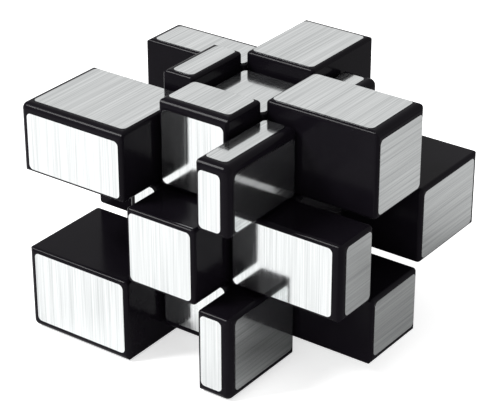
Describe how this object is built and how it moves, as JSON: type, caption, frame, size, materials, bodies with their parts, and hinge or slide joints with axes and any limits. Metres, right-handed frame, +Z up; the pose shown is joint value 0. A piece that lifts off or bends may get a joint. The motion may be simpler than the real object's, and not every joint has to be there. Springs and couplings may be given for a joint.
{
  "type": "mirror block cube",
  "caption": "Three-layer turning puzzle cube with mirror-faced black blocks of unequal height, standing in its chequerboard state.",
  "frame": {"origin": "centre of the core, where the turning axes of all six faces meet; it is also the centre of the bounding box in this state", "axes": "+Z up along the turning axis of the upper and lower layers, +Y away from the front, +X to the right"},
  "size_m": [0.077, 0.069, 0.061],
  "materials": {
    "gloss_black": "glossy moulded black ABS",
    "inner_plastic": "satin moulded black ABS",
    "core_plastic": "satin nylon",
    "steel": "bright zinc-plated steel",
    "mirror_foil": "brushed silver mirror foil"
  },
  "bodies": {
    "core_and_middle_slice": {"core": "core_plastic", "tension_screws": "steel", "tension_springs": "steel", "spring_washers": "steel", "centre_front_body": "inner_plastic", "centre_left_body": "inner_plastic", "centre_right_body": "inner_plastic", "centre_back_body": "inner_plastic", "centre_front_cap": "gloss_black", "centre_left_cap": "gloss_black", "centre_right_cap": "gloss_black", "centre_back_cap": "gloss_black", "edge_front_left_foot": "inner_plastic", "edge_front_right_foot": "inner_plastic", "edge_back_left_foot": "inner_plastic", "edge_back_right_foot": "inner_plastic", "edge_front_left_shell": "gloss_black", "edge_front_right_shell": "gloss_black", "edge_back_left_shell": "gloss_black", "edge_back_right_shell": "gloss_black", "middle_slice_foils": "mirror_foil"},
    "up_layer": {"centre_up_body": "inner_plastic", "centre_up_cap": "gloss_black", "corner_up_front_left_foot": "inner_plastic", "edge_up_front_foot": "inner_plastic", "corner_up_front_right_foot": "inner_plastic", "edge_up_left_foot": "inner_plastic", "edge_up_right_foot": "inner_plastic", "corner_up_back_left_foot": "inner_plastic", "edge_up_back_foot": "inner_plastic", "corner_up_back_right_foot": "inner_plastic", "corner_up_front_left_shell": "gloss_black", "edge_up_front_shell": "gloss_black", "corner_up_front_right_shell": "gloss_black", "edge_up_left_shell": "gloss_black", "edge_up_right_shell": "gloss_black", "corner_up_back_left_shell": "gloss_black", "edge_up_back_shell": "gloss_black", "corner_up_back_right_shell": "gloss_black", "up_layer_foils": "mirror_foil"},
    "down_layer": {"centre_down_body": "inner_plastic", "centre_down_cap": "gloss_black", "corner_down_front_left_foot": "inner_plastic", "edge_down_front_foot": "inner_plastic", "corner_down_front_right_foot": "inner_plastic", "edge_down_left_foot": "inner_plastic", "edge_down_right_foot": "inner_plastic", "corner_down_back_left_foot": "inner_plastic", "edge_down_back_foot": "inner_plastic", "corner_down_back_right_foot": "inner_plastic", "corner_down_front_left_shell": "gloss_black", "edge_down_front_shell": "gloss_black", "corner_down_front_right_shell": "gloss_black", "edge_down_left_shell": "gloss_black", "edge_down_right_shell": "gloss_black", "corner_down_back_left_shell": "gloss_black", "edge_down_back_shell": "gloss_black", "corner_down_back_right_shell": "gloss_black", "down_layer_foils": "mirror_foil", "down_resting_foils": "mirror_foil"}
  },
  "joints": [
    {"name": "up_layer_turn", "type": "hinge", "parent": "core_and_middle_slice", "child": "up_layer", "pos_m": [0, 0, 0.018], "axis": [0, 0, 1], "continuous": true},
    {"name": "down_layer_turn", "type": "hinge", "parent": "core_and_middle_slice", "child": "down_layer", "pos_m": [0, 0, -0.018], "axis": [0, 0, -1], "continuous": true}
  ]
}
